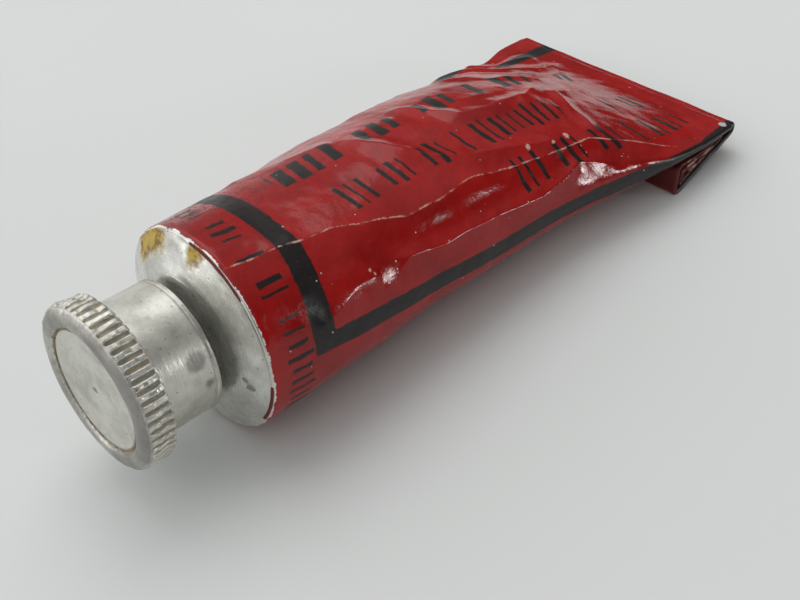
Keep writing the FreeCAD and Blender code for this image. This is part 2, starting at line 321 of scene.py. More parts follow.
def turned(name, profile, columns, bump, mark, body, **ends):
    """A piece turned about the tube's axis from (x, radius) points.

    bump changes (x, radius) by angle, and mark gives the numbers kept on the points.
    """
    profile = np.array(profile, float)
    angle = np.arange(columns) / columns * 2 * math.pi
    x = np.repeat(profile[:, :1], columns, 1)
    r = np.repeat(profile[:, 1:2], columns, 1)
    a = np.repeat(angle[None, :], len(profile), 0)
    marks = mark(x, r, a)
    x, r = bump(x, r, a)
    points = placed(x, r * np.sin(a), r * np.cos(a))
    steps = np.hypot(*np.diff(profile, axis=0).T)
    run = np.concatenate([[0], np.cumsum(steps)])
    piece = grid_mesh(name, points, (run / UV_MM, angle / (2 * math.pi)), marks=marks, **ends)
    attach(piece, body)
    return piece


def patch(x, y, size):
    """A round mark, 1 in the middle and 0.3 at size."""
    return np.exp(-(x * x + y * y) / (size * size) * 1.2)


def arc_gap(a, degrees, r):
    """Distance round a circle of radius r from the azimuth given in degrees, in mm."""
    return ((a - math.radians(degrees) + math.pi) % (2 * math.pi) - math.pi) * r


def fine(profile, step):
    """The same outline with points no further apart than step."""
    out = [profile[0]]
    for a, b in zip(profile[:-1], profile[1:]):
        n = max(1, math.ceil(math.dist(a, b) / step))
        out += [tuple(np.array(a) + (np.array(b) - np.array(a)) * k / n) for k in range(1, n + 1)]
    return out


def rounded(points, step):
    """A smooth curve through the outline's points."""
    points = np.array(points, float)
    run = np.concatenate([[0], np.cumsum(np.hypot(*np.diff(points, axis=0).T))])
    at = np.linspace(0, run[-1], max(2, int(run[-1] / step)))
    return list(zip(cubic(at, run, points[:, 0]), cubic(at, run, points[:, 1])))


def make_shoulder():
    """The bare cone from the neck to a raised lip, with dents, glue stains and paint left on the lip."""
    inside = fine([(2.3, 2.52), (1.82, 2.52), (1.32, 3.72), (0.02, 9.31), (-0.3, 9.33)], 0.4)
    outside = rounded([
        (-0.3, 9.34), (0.1, 9.35), (0.38, 9.33), (0.50, 9.27), (0.57, 9.12), (0.66, 8.9), (0.95, 8.3),
        (1.35, 7.4), (1.65, 6.5), (1.85, 5.7), (1.98, 5.1), (2.08, 4.8), (2.2, 4.55), (2.3, 4.42)], 0.06)

    def dented(x, r, a):
        """Waves and one pressed flat on the outer face, and an uneven lip."""
        share = smooth_step(r, 4.6, 6) * (1 - smooth_step(r, 9.0, 9.3)) * (x > 0.45)
        turn = a / (2 * math.pi)
        out = (r - 4) / 6
        wave = 0.05 * cloud(out, turn, 4, 12, 31) + 0.012 * cloud(out, turn, 14, 60, 32)
        lip = 0.05 * cloud(x * 0 + 0.5, turn, 2, 26, 33) * smooth_step(r, 9.0, 9.2) * (x > 0.3)
        flat = 0.26 * (1 - smooth_step(r, 5.5, 7.4)) - 0.13 * (1 - smooth_step(r, 7.6, 8.9))
        return x + share * (wave + flat * patch(arc_gap(a, -15, r), 0, 2.3)) + lip, r

    def stains(x, r, a):
        """Where the glue, the dark specks, the painted shade at the neck's foot and the paint on the lip
        lie.
        """
        glue = 1.15 * patch(arc_gap(a, -36, r) * 0.65, (r - 8.8) * 1.2, 2.0)
        glue += 0.95 * patch(arc_gap(a, 7, r), r - 8.6, 1.25)
        glue += 0.5 * patch(arc_gap(a, -52, r), r - 8.0, 0.9)
        dark = 0.9 * patch(arc_gap(a, 98, r), r - 7.6, 0.55)
        dark += 0.7 * patch(arc_gap(a, 92, r), r - 7.1, 0.4)
        dark += 0.5 * patch(arc_gap(a, 54, r), r - 7.5, 0.7)
        dark += 0.4 * patch(arc_gap(a, 150, r), r - 7.8, 0.9)
        # Painted shade with some dirt: the neck's foot is darkened on the near side, under the cap's skirt,
        # and stored with the specks.
        neck_foot = (1 - smooth_step(r, 4.5, 5.0)) * (x > 1.4)
        dark += 0.55 * neck_foot * smooth_step(np.cos(a - 1.75), 0.1, 0.8)
        lip = smooth_step(r, 8.98, 9.06) * (1 - smooth_step(r, 9.29, 9.32)) * (x > 0.3)
        reach = np.maximum(patch(arc_gap(a, 22, 9.2), 0, 3.4), patch(arc_gap(a, 108, 9.2), 0, 2.6))
        return {"glue": glue, "grime": dark, "paint": lip * smooth_step(reach, 0.15, 0.45)}

    piece = turned("shoulder_cone", inside + outside[1:-1], 400, dented, stains, "tube", loop=True)
    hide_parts("shoulder")
    return piece


FLUTES = 52
FLUTE_POINTS = 14         # columns of the cap's mesh in each flute


def make_cap():
    """The cap's drawn sheet from the inside out: skirt, knurled head, rolled bead and pressed-in disc."""
    inside = fine([(10.4, 0.02), (10.4, 6.7), (8.55, 6.7), (8.5, 5.68), (3.5, 5.68)], 0.35)
    skirt = rounded([(3.5, 5.68), (3.06, 5.69), (2.99, 5.76), (2.99, 5.88), (3.04, 5.96),
                     (3.2, 5.97)], 0.03)[1:]
    skirt += fine([(3.2, 5.97), (3.34, 5.965), (3.38, 5.91), (3.44, 5.91), (3.48, 5.955),
                   (7.85, 5.95)], 0.12)[1:]
    head = rounded([(7.85, 5.95), (8.05, 6.0), (8.16, 6.15), (8.2, 6.5), (8.22, 6.9), (8.26, 7.12),
                    (8.36, 7.28), (8.52, 7.35)], 0.035)[1:]
    knurl = fine([(8.52, 7.35), (10.4, 7.35)], 0.045)[1:]
    bead = rounded([(10.4, 7.35), (10.62, 7.30), (10.82, 7.15), (11.0, 6.88), (11.11, 6.55), (11.14, 6.3),
                    (11.13, 6.05), (11.07, 5.86), (10.97, 5.72), (10.84, 5.63), (10.72, 5.59), (10.66, 5.54),
                    (10.68, 5.47), (10.78, 5.43), (10.82, 5.35)], 0.03)[1:]
    disc = fine([(10.82, 5.35), (10.82, 5.05), (10.79, 4.98), (10.79, 0.42), (10.74, 0.3), (10.64, 0.16),
                 (10.62, 0.02)], 0.09)[1:]
    inner_rows = len(inside)
    front_x, head_x, skirt_r = 10.5, 8.1, 6.1     # the front and the head begin there; the skirt is within

    def band(x, r):
        """1 on the knurled part of the head."""
        return smooth_step(x, 8.22, 8.5) * (1 - smooth_step(x, 10.38, 10.72)) * (r > 6.3)

    def flutes(turn, a):
        """The knurl's wave, from 0 in a groove to 1 on a ridge, a little uneven in pitch."""
        return 0.5 + 0.5 * np.cos(FLUTES * a + 0.35 * cloud(turn * 0 + 0.5, turn, 2, 17, 46))

    def stamped(x, r, a):
        """The flutes, worn and in one place crushed, with lumps, dents and gentle waves all over."""
        turn = a / (2 * math.pi)
        ridge = smooth_step(flutes(turn, a), 0.10, 0.66)
        whole = 0.45 + 0.55 * smooth_step(np.abs(arc_gap(a, -38, 1)), 0.35, 0.95)
        depth = 0.23 * band(x + 0.18 * ridge, r) * (1 - ridge) * whole
        worn = 0.13 * cloud((x - 8) / 3, turn, 3, 47, 41) * band(x, r) * ridge
        rear = 0.09 * (1 - ridge) * smooth_step(r, 6.4, 7.1) * (x < 8.4)
        head_part = (x > head_x) & (r > 5.62)
        along = (x - 8) / 3.2
        lump = (0.05 + 0.07 * (1 - whole)) * cloud(along, turn, 9, 96, 42) * head_part * (x < 10.95)
        dent = 0.035 * cloud(along, turn, 3, 20, 43) * head_part
        crest = 0.03 * cloud(r / 8, turn, 4, 26, 47) * head_part * (x > 10.9)
        skirt_wave = 0.03 * cloud((x - 3) / 6, turn, 3, 7, 44) * (x < 8.0)
        on_disc = smooth_step(r, 0.2, 1.2) * (r < 5.0) * (x > front_x)
        disc_wave = 0.02 * cloud(r / 6, turn, 3, 6, 45) * on_disc
        new_x = x + rear + disc_wave + crest
        new_r = r - depth - worn + lump + dent + skirt_wave
        new_x[:inner_rows], new_r[:inner_rows] = x[:inner_rows], r[:inner_rows]
        return new_x, new_r

    def dirt(x, r, a):
        """Where brown dirt, dark tarnish, the grey seam beside the bead and painted shade on the front's
        near side lie.
        """
        turn = a / (2 * math.pi)
        middle = x * 0 + 0.5
        on_front, on_skirt = x > front_x, r < skirt_r
        some = 0.5 + 0.5 * cloud(middle, turn, 2, 24, 48)
        grooves = (1 - smooth_step(flutes(turn, a), 0.15, 0.6)) * band(x, r) * (0.45 + 0.85 * some)
        seam = np.exp(-((x - 10.62) / 0.10) ** 2) * (r > 6.9) * 0.55
        near_side = smooth_step(np.cos(a - 1.35), 0.1, 0.8)
        ring = 1.1 * np.exp(-((r - 5.50) / 0.19) ** 2) * on_front
        # Painted shadow with some dirt: a wider dark band on the near side of the disc's edge, where the
        # bead's lip shades it.
        ring += smooth_step(r, 5.1, 5.45) * (1 - smooth_step(r, 5.6, 5.9)) * on_front * near_side
        dimple = 1.5 * np.exp(-(r / 0.3) ** 2) * on_front
        behind_head = np.exp(-((x - head_x) / 0.14) ** 2) * 0.5
        spot = 0.95 * patch(arc_gap(a, 64, 6) * 1.1, x - 4.7, 1.0) * on_skirt
        spot += 0.7 * patch(arc_gap(a, 86, 6), x - 4.1, 0.5) * on_skirt
        spot += 0.35 * patch(arc_gap(a, 34, 6), (x - 5.0) * 1.3, 1.9) * on_skirt
        mouth = 0.5 + 0.5 * cloud(middle, turn, 2, 19, 49)
        spot += 0.4 * (1 - smooth_step(x, 3.3, 3.9)) * mouth * (r > 5.8)
        bead_front = smooth_step(x, front_x, 10.9) * smooth_step(r, 5.5, 5.8)
        cloudy = 0.75 + 0.4 * cloud(r / 8, turn, 3, 14, 50)
        # The bead's face is dulled all round and, on the near side, darkened further as painted shade.
        spot += bead_front * ((0.58 + 0.25 * near_side) * cloudy)
        brown = np.maximum(np.maximum(grooves, ring), np.maximum(dimple, behind_head))
        return {"grime": np.clip(brown, 0, 1), "spot": spot, "seam": seam}

    piece = turned("cap_skin", inside + skirt + head + knurl + bead + disc, FLUTES * FLUTE_POINTS, stamped,
                   dirt, "cap", close_start=True, close_end=True)
    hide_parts("cap_shell", "cap_top_disc")
    return piece


# Bends of the rolled tail, outside in: centre x, centre z, radius of the strip's middle
BENDS = [
    (-60.5, 0.55, 0.6), (-50.95, -2.67, 0.45), (-50.95, -0.66, 0.45),
    (-58.75, 0.17, 0.22), (-51.62, -2.2, 0.24), (-51.62, -1.06, 0.24),
    (-56.7, -0.245, 0.17), (-51.95, -1.85, 0.17), (-51.95, -1.25, 0.17),
    (-53.8, -0.945, 0.13),
]
ROLL_START_X = -58.6      # inside the end of the sleeve
HALF_WIDTH = 14.7
HALF_THICK = 0.29


def fold_path():
    """The roll's centreline as seen from the side: arcs round the bends, joined by straight runs."""
    bend_points = 12
    short_of_full, last_run = 0.33, 1.0     # the last bend stops short of level, before a short straight
    points = [(ROLL_START_X, BENDS[0][1] + BENDS[0][2])]
    heading = math.pi
    for here, then in zip(BENDS, BENDS[1:] + [None]):
        if then is None:
            leave = 2 * math.pi * math.ceil(heading / (2 * math.pi)) - short_of_full
        else:
            dx, dz = then[0] - here[0], then[1] - here[1]
            leave = math.atan2(dz, dx) + math.asin((here[2] - then[2]) / math.hypot(dx, dz))
            while leave < heading:
                leave += 2 * math.pi
        for turn in np.linspace(heading, leave, bend_points):
            points.append((here[0] + here[2] * math.sin(turn), here[1] - here[2] * math.cos(turn)))
        heading = leave
    end_x, end_z = points[-1]
    points.append((end_x + last_run * math.cos(heading), end_z + last_run * math.sin(heading)))
    return fine(points, 0.12)


def make_fold():
    """The flat tail rolled up under itself: a double sheet with rounded sides, thinner inside the roll."""
    path = np.array(fold_path())
    tangent = np.gradient(path, axis=0)
    tangent /= np.hypot(*tangent.T)[:, None]
    normal = np.stack([tangent[:, 1], -tangent[:, 0]], -1)
    run = np.concatenate([[0], np.cumsum(np.hypot(*np.diff(path, axis=0).T))])[:, None]
    columns = 150
    across = np.linspace(-1, 1, columns)
    edge = np.linspace(0, math.pi, 9)[1:-1]
    thick = HALF_THICK - 0.14 * smooth_step(run, 15.5, 18)
    bulge = np.sin(edge)
    side = HALF_THICK / HALF_WIDTH
    flat = np.concatenate([across * (1 - side), 1 - side + bulge * side,
                           across[::-1] * (1 - side), -1 + side - bulge * side])[None, :]
    rise = np.concatenate([np.ones(columns), np.cos(edge), -np.ones(columns), -np.cos(edge)])[None, :]
    along, v = run / run[-1], (flat + 1) / 2 * 0.98
    width = HALF_WIDTH - 0.1 - 0.16 * smooth_step(run, 14, 18) + 0.11 * cloud(along, 0.1 + 0 * v, 34, 3, 51)
    swell = 1 + 0.12 * cloud(along, v, 30, 16, 52)
    sway = 0.05 * cloud(along, v, 22, 9, 53) * smooth_step(run, 0.5, 3)
    offset = thick * swell * rise + sway
    points = placed(path[:, :1] + normal[:, :1] * offset, flat * width, path[:, 1:] + normal[:, 1:] * offset)
    points[..., 2] = np.maximum(points[..., 2], 0)
    piece = grid_mesh("tail_fold", points, (run[:, 0] / UV_MM, flat[0] / 2 + 0.5), close_start=True,
                      close_end=True, marks={"across": flat * HALF_WIDTH, "run": run})
    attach(piece, "tube")
    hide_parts("tail_roll")
    return piece


class Shader:
    """A material's nodes, made by short calls that return output sockets."""

    def __init__(self, name):
        self.material = bpy.data.materials.new(name)
        self.material.use_nodes = True
        self.nodes = self.material.node_tree.nodes
        self.links = self.material.node_tree.links
        self.bsdf = self.nodes["Principled BSDF"]

    def feed(self, socket, value):
        if isinstance(value, bpy.types.NodeSocket):
            self.links.new(value, socket)
        elif isinstance(value, tuple) and len(value) == 3 and socket.type == "RGBA":
            socket.default_value = (*value, 1)
        else:
            socket.default_value = value

    def math(self, kind, a, b=0.0):
        node = self.nodes.new("ShaderNodeMath")
        node.operation = kind
        for socket, value in zip(node.inputs, (a, b)):
            self.feed(socket, value)
        return node.outputs[0]

    def ramp(self, value, low, high, kind="LINEAR"):
        """0 below low, 1 above high, straight between."""
        node = self.nodes.new("ShaderNodeMapRange")
        node.interpolation_type = kind
        for socket, v in zip(node.inputs, (value, low, high)):
            self.feed(socket, v)
        return node.outputs[0]

    def step(self, value, low, high):
        """0 below low, 1 above high, smooth between; or 1 below high, 0 above low, where low is larger."""
        out = self.ramp(value, min(low, high), max(low, high), "SMOOTHSTEP")
        if low > high:
            out.node.inputs["To Min"].default_value, out.node.inputs["To Max"].default_value = 1, 0
        return out

    def mix(self, share, a, b):
        node = self.nodes.new("ShaderNodeMix")
        node.data_type = "RGBA"
        self.feed(node.inputs[0], share)
        self.feed(node.inputs[6], a)
        self.feed(node.inputs[7], b)
        return node.outputs[2]

    def blend(self, share, a, b):
        """A number between a and b."""
        node = self.nodes.new("ShaderNodeMix")
        self.feed(node.inputs[0], share)
        self.feed(node.inputs[2], a)
        self.feed(node.inputs[3], b)
        return node.outputs[0]

    def both(self, *values):
        """The product of several masks."""
        out = values[0]
        for value in values[1:]:
            out = self.math("MULTIPLY", out, value)
        return out

    def most(self, *values):
        """The largest of several masks."""
        out = values[0]
        for value in values[1:]:
            out = self.math("MAXIMUM", out, value)
        return out

    def position(self, scale=(1, 1, 1), turn=(0, 0, 0)):
        """Object coordinates in millimetres, stretched and turned."""
        coordinates = self.nodes.new("ShaderNodeTexCoord").outputs["Object"]
        node = self.nodes.new("ShaderNodeMapping")
        self.feed(node.inputs["Vector"], coordinates)
        node.inputs["Scale"].default_value = tuple(1000 * s for s in scale)
        node.inputs["Rotation"].default_value = turn
        return node.outputs[0]

    def noise(self, vector, scale, detail, roughness=0.5):
        node = self.nodes.new("ShaderNodeTexNoise")
        self.feed(node.inputs["Vector"], vector)
        node.inputs["Scale"].default_value = scale
        node.inputs["Detail"].default_value = detail
        node.inputs["Roughness"].default_value = roughness
        return node.outputs[0]

    def swing(self, vector, scale, detail, roughness, size):
        """Noise about 0, at most half of size either way."""
        noise = self.noise(vector, scale, detail, roughness)
        return self.math("MULTIPLY", self.math("SUBTRACT", noise, 0.5), size)

    def cells(self, vector, scale):
        """Distance to the nearest of points scattered at random."""
        node = self.nodes.new("ShaderNodeTexVoronoi")
        self.feed(node.inputs["Vector"], vector)
        node.inputs["Scale"].default_value = scale
        return node.outputs[0]

    def chance(self, number, seed):
        """A random number from 0 to 1 for each whole number."""
        node = self.nodes.new("ShaderNodeTexWhiteNoise")
        node.noise_dimensions = "1D"
        self.feed(node.inputs["W"], self.math("ADD", number, seed))
        return node.outputs[0]

    def uv(self):
        node = self.nodes.new("ShaderNodeUVMap")
        node.uv_map = "print"
        parts = self.nodes.new("ShaderNodeSeparateXYZ")
        self.feed(parts.inputs[0], node.outputs[0])
        return parts.outputs[0], parts.outputs[1]

    def vector(self, x, y, z=0.0):
        node = self.nodes.new("ShaderNodeCombineXYZ")
        for socket, value in zip(node.inputs, (x, y, z)):
            self.feed(socket, value)
        return node.outputs[0]

    def mark(self, name):
        """A number kept on the mesh."""
        node = self.nodes.new("ShaderNodeAttribute")
        node.attribute_name = name
        return node.outputs["Fac"]

    def curve(self, value, points, top):
        """A piecewise line through (value, result) points, with results from 0 to top."""
        node = self.nodes.new("ShaderNodeValToRGB")
        low, high = points[0][0], points[-1][0]
        self.feed(node.inputs[0], self.ramp(value, low, high))
        elements = node.color_ramp.elements
        for k, (at, level) in enumerate(points):
            spot = (at - low) / (high - low)
            element = elements[k] if k < 2 else elements.new(spot)
            element.position = spot
            element.color = (level / top, level / top, level / top, 1)
        return self.math("MULTIPLY", node.outputs[0], top)

    def bump(self, height, distance):
        """A surface that seems to rise by up to distance, in mm."""
        node = self.nodes.new("ShaderNodeBump")
        node.inputs["Distance"].default_value = distance / 1000
        self.feed(node.inputs["Height"], height)
        return node.outputs[0]

    def give(self, piece):
        piece.data.materials.clear()
        piece.data.materials.append(self.material)


# Colours of the lacquer and the print
RED = (0.35, 0.009, 0.008)
DEEP_RED = (0.25, 0.006, 0.006)
PALE_RED = (0.46, 0.05, 0.035)
LIP_RED = (0.13, 0.006, 0.006)
SCRATCHED = (0.56, 0.32, 0.27)
INK = (0.010, 0.009, 0.009)
WORN_INK = (0.11, 0.016, 0.014)
# Colours of bare metal and of what clings to the tube; three of them also serve as painted shade
METAL = (0.78, 0.77, 0.74)
TARNISH_AND_SHADE = (0.17, 0.155, 0.15)
SEAM_GREY = (0.20, 0.21, 0.22)
PIT = (0.10, 0.09, 0.07)
SPECK_AND_SHADE = (0.10, 0.09, 0.06)
GRIME = (0.27, 0.26, 0.21)
DIRT_AND_SHADE = (0.035, 0.010, 0.008)
DUST = (0.6, 0.5, 0.45)
DARK_BROWN = (0.17, 0.15, 0.115)
RUSTY_BROWN = (0.29, 0.20, 0.08)
GLUE = (0.47, 0.32, 0.05)
OLD_GLUE = (0.20, 0.11, 0.02)


def lacquer(name, bare, ink, crack, grime):
    """Red lacquer with black print over aluminium.

    bare, ink, crack and grime are given the shader and return the masks of bare metal, print, worn
    places and dirt, which on the roll is painted shade.
    """
    s = Shader(name)
    bare_mask, ink_mask, worn_mask, dirt = bare(s), ink(s), crack(s), grime(s)
    place = s.position()
    tone = s.noise(place, 0.22, 4, 0.6)
    red = s.mix(s.step(tone, 0.32, 0.68), DEEP_RED, RED)
    blotch = s.step(s.noise(place, 1.7, 5, 0.7), 0.52, 0.78)
    red = s.mix(s.math("MULTIPLY", blotch, 0.16), red, PALE_RED)
    thin = s.step(s.noise(place, 3.2, 6, 0.75), 0.55, 0.70)
    black = s.mix(s.math("MULTIPLY", thin, 0.7), INK, WORN_INK)
    colour = s.mix(ink_mask, red, black)
    # Darkened by the grime mask: dirt on the sleeve, painted shade on the inner turns of the roll.
    colour = s.mix(dirt, colour, DIRT_AND_SHADE)
    streaks = s.noise(s.position((1, 0.35, 1), (0, 0, 0.5)), 3.6, 6, 0.8)
    scuffs = s.both(0.3, s.step(streaks, 0.66, 0.74), s.step(s.noise(place, 0.35, 3, 0.6), 0.5, 0.66))
    colour = s.mix(s.most(worn_mask, s.math("MULTIPLY", scuffs, 0.35)), colour, SCRATCHED)
    specks = s.both(s.step(s.cells(place, 0.95), 0.085, 0.05), s.step(s.noise(place, 0.45, 1), 0.5, 0.56))
    dust = s.step(s.noise(place, 5.0, 6, 0.8), 0.68, 0.78)
    colour = s.mix(s.math("MULTIPLY", dust, 0.13), colour, DUST)
    bare_mask = s.most(bare_mask, s.math("MULTIPLY", specks, 0.8))
    colour = s.mix(bare_mask, colour, METAL)
    s.feed(s.bsdf.inputs["Base Color"], colour)
    s.feed(s.bsdf.inputs["Metallic"], s.math("MULTIPLY", bare_mask, 0.85))
    smear = s.noise(place, 0.7, 5, 0.7)
    rough = s.blend(s.step(smear, 0.35, 0.8), 0.10, 0.22)
    rough = s.blend(ink_mask, rough, 0.32)
    rough = s.blend(s.most(bare_mask, worn_mask, scuffs, dirt), rough, 0.5)
    s.feed(s.bsdf.inputs["Roughness"], rough)
    s.bsdf.inputs["IOR"].default_value = 1.38
    grain = s.noise(place, 4.5, 5, 0.6)
    orange = s.noise(place, 1.3, 3, 0.5)
    height = s.math("ADD", s.math("MULTIPLY", grain, 0.3), orange)
    s.feed(s.bsdf.inputs["Normal"], s.bump(height, 0.03))
    return s


def sleeve_coordinates(s):
    """Behind the rim and girth from the crown, both in mm."""
    u, v = s.uv()
    return s.math("MULTIPLY", u, UV_MM), s.math("MULTIPLY", s.math("SUBTRACT", v, 0.5), UV_MM)


# The printed frame's side lines: girth at distances behind the rim, and one girth all along
NEAR_LINE = [(0, 13.2), (6, 13.6), (16, 14.7), (26, 15.36), (36, 15.4), (46, 15.2), (54, 15.1), (60, 14.7)]
FAR_LINE = -10.8


def printed(s):
    """The black print: a frame of bars and lines, and rows of plain upright bars where lettering was."""
    behind, girth = sleeve_coordinates(s)
    wobble = s.swing(s.position(), 1.2, 4, 0.6, 0.45)
    x = s.math("ADD", behind, wobble)
    g = s.math("ADD", girth, wobble)
    blur = 0.07

    def band(value, middle, half):
        """1 within half of middle."""
        away = s.math("ABSOLUTE", s.math("SUBTRACT", value, middle))
        return s.step(s.math("SUBTRACT", away, half), blur, -blur)

    def between(value, low, high):
        """1 from low to high."""
        return s.both(s.step(value, low - blur, low + blur), s.step(value, high + blur, high - blur))

    past_tail = TAIL + 10
    bar_at = s.math("SUBTRACT", 5.8, s.math("MULTIPLY", s.step(g, 4.5, 12.5), 0.95))
    front_bar = s.both(band(x, bar_at, 1.08), between(g, -11.7, 14.3))
    near_at = s.curve(x, NEAR_LINE, 20)
    near_line = s.both(band(g, near_at, 0.9), between(x, 3.8, past_tail))
    far_line = s.both(band(g, FAR_LINE, 0.95), between(x, 4.7, past_tail))

    def row(along, across, start, end, middle, seed, half, pitch, fill=0.40, gaps=0.08, slant=-0.12):
        """Upright bars of uneven height and width, from start to end along and half either side of middle.

        fill is a bar's share of the pitch, gaps the share of bars left out, and slant how far they lean.
        """
        leaning = s.math("ADD", along, s.math("MULTIPLY", across, slant))
        spot = s.math("DIVIDE", s.math("SUBTRACT", leaning, start), pitch)
        number = s.math("FLOOR", spot)
        spot = s.math("SUBTRACT", spot, number)
        uneven = s.math("MULTIPLY", s.math("SUBTRACT", s.chance(number, seed), 0.5), 0.3)
        past_bar = s.math("SUBTRACT", spot, s.math("ADD", fill, uneven))
        inside = s.both(s.step(past_bar, blur / pitch, -blur / pitch), s.step(spot, 0.0, 2 * blur / pitch))
        shown = s.math("GREATER_THAN", s.chance(number, seed + 50.5), gaps)
        tall = s.math("ADD", 0.68, s.math("MULTIPLY", s.chance(number, seed + 90.5), 0.32))
        tall = s.math("MULTIPLY", tall, half)
        return s.both(inside, shown, band(across, middle, tall), between(along, start, end))

    rise = s.math("ADD", 3.6, s.step(x, 14, 40))
    rows = [
        row(x, g, 10.3, 44.5, -2.5, seed=1.5, half=2.0, pitch=1.95, fill=0.58, slant=0.25),
        row(x, g, 49.0, 57.5, -3.3, seed=9.5, half=1.2, pitch=1.6, fill=0.55, gaps=0.15, slant=0.25),
        row(x, g, 13.0, 41.5, rise, seed=2.5, half=1.75, pitch=1.2),
        row(x, g, 49.5, 58.0, rise, seed=7.5, half=1.75, pitch=1.2),
        row(x, g, 30.5, 57.0, 9.9, seed=3.5, half=1.9, pitch=1.45),
        row(g, x, -7.5, 22.0, 2.35, seed=4.5, half=1.35, pitch=1.15, gaps=0.10, slant=0.0),
    ]
    return s.most(front_bar, near_line, far_line, *rows)


# Scraped spots: behind the rim, girth, radius
SCRAPES = [(33.4, 7.9, 0.30), (36.4, 8.5, 0.26), (38.7, 8.4, 0.42), (11.0, 10.0, 0.2), (11.3, 10.5, 0.16)]


def distance_from(s, behind, girth, x, g):
    """How far a place of the sleeve is from the point at x behind the rim and girth g."""
    along, across = s.math("SUBTRACT", behind, x), s.math("SUBTRACT", girth, g)
    return s.math("SQRT", s.math("ADD", s.both(along, along), s.both(across, across)))


def crack_mask(s):
    """A hair crack of pale lacquer along one ridge, and scraped spots."""
    place = s.position()
    behind, girth = sleeve_coordinates(s)
    uneven = s.swing(place, 2.0, 5, 0.7, 0.5)
    away = s.math("ADD", s.mark("crease"), uneven)
    line = s.step(away, 0.10, 0.03)
    broken = s.step(s.noise(place, 1.0, 4, 0.7), 0.40, 0.56)
    masks = [s.both(line, broken)]
    for x, g, size in SCRAPES:
        far = s.math("ADD", distance_from(s, behind, girth, x, g), s.math("MULTIPLY", uneven, 1.6))
        masks.append(s.step(far, size, size * 0.6))
    return s.most(*masks)


def rim_mask(s):
    """Bare metal where the lacquer has torn off at the rim, and a chip at the tail's near corner."""
    behind, girth = sleeve_coordinates(s)
    place = s.position()
    rough = s.swing(place, 1.1, 6, 0.75, 1.0)
    torn = s.math("ADD", s.math("MULTIPLY", rough, 0.75), s.swing(place, 0.3, 3, 0.6, 0.45))
    chip = s.step(s.math("ADD", distance_from(s, behind, girth, 59.3, 13.9), rough), 0.5, 0.35)
    return s.most(s.step(s.math("ADD", behind, torn), -0.36, -0.40), chip)


def fold_ink(s):
    """The side lines of the printed frame, wrapped round the roll's outer turn."""
    wobble = s.swing(s.position(), 1.2, 4, 0.6, 0.5)
    across = s.math("ADD", s.mark("across"), wobble)
    near_line = s.step(across, 13.75, 13.9)
    far_line = s.step(s.math("ABSOLUTE", s.math("SUBTRACT", across, FAR_LINE)), 1.02, 0.88)
    return s.both(s.most(near_line, far_line), s.step(s.mark("run"), 14.3, 13.3))


def sleeve_grime(s):
    """Dark mottled dirt on the crown's far side, thickest by the rim, and a little everywhere."""
    behind, girth = sleeve_coordinates(s)
    mottle = s.step(s.noise(s.position(), 2.2, 5, 0.75), 0.46, 0.60)
    far_side = s.both(s.step(girth, 3.0, -4.5), s.step(behind, 20, 3))
    return s.both(mottle, s.blend(far_side, 0.12, 0.9))


def fold_painted_shade(s):
    """Painted shade, with some dirt, on the turns of the roll that face the tube and on those inside."""
    return s.math("MULTIPLY", s.step(s.mark("run"), 13.6, 14.8), 0.8)


def fold_rubbed(s, limit):
    """Streaks along the folded sides, more of them inside the roll."""
    away = s.math("ABSOLUTE", s.mark("across"))
    streaks = s.vector(s.math("MULTIPLY", s.mark("run"), 0.45), s.math("MULTIPLY", away, 1.5))
    rub = s.noise(streaks, 1.0, 4, 0.6)
    inner = s.step(s.mark("run"), 14.0, 18.0)
    rub = s.math("SUBTRACT", rub, s.blend(inner, limit + 0.12, limit))
    return s.both(s.step(away, 14.45, 14.65), s.step(rub, 0.0, 0.05))


def fold_bare(s):
    """Bare metal where the folded sides have split."""
    return fold_rubbed(s, 0.64)


def fold_worn(s):
    """Lacquer rubbed pale round the splits."""
    return fold_rubbed(s, 0.54)


def bare_metal(name, base, dull, grooves, polish, extra):
    """Worn aluminium with turning marks and tarnish.

    grooves is how many marks there are to the millimetre, and polish the roughness where it is clean.
    extra(shader, place, colour) adds a piece's own stains: it returns the colour, the dirty share and
    how much the stains stand up.
    """
    s = Shader(name)
    place = s.position()
    u, v = s.uv()
    around = s.math("MULTIPLY", v, 2 * math.pi)
    ring = s.vector(s.math("MULTIPLY", u, UV_MM * grooves), s.math("COSINE", around), s.math("SINE", around))
    marks = s.noise(ring, 1.0, 5, 0.65)
    tarnish = s.step(s.noise(place, 0.32, 5, 0.65), 0.38, 0.72)
    pits = s.step(s.cells(place, 1.3), 0.16, 0.06)
    grime = s.step(s.noise(place, 1.1, 6, 0.75), 0.56, 0.76)
    colour = s.mix(tarnish, base, dull)
    colour = s.mix(s.math("MULTIPLY", grime, 0.55), colour, GRIME)
    colour = s.mix(s.math("MULTIPLY", pits, 0.5), colour, PIT)
    colour, dirty, rise = extra(s, place, colour)
    s.feed(s.bsdf.inputs["Base Color"], colour)
    s.feed(s.bsdf.inputs["Metallic"], s.blend(dirty, 0.88, 0.1))
    rough = s.math("ADD", s.blend(tarnish, polish, polish + 0.12),
                   s.math("MULTIPLY", s.math("SUBTRACT", marks, 0.5), 0.3))
    s.feed(s.bsdf.inputs["Roughness"], s.blend(dirty, rough, 0.6))
    grain = s.math("MULTIPLY", s.noise(place, 5.0, 4, 0.6), 0.4)
    height = s.math("ADD", s.math("ADD", s.math("MULTIPLY", marks, 0.7), grain), rise)
    s.feed(s.bsdf.inputs["Normal"], s.bump(height, 0.03))
    return s


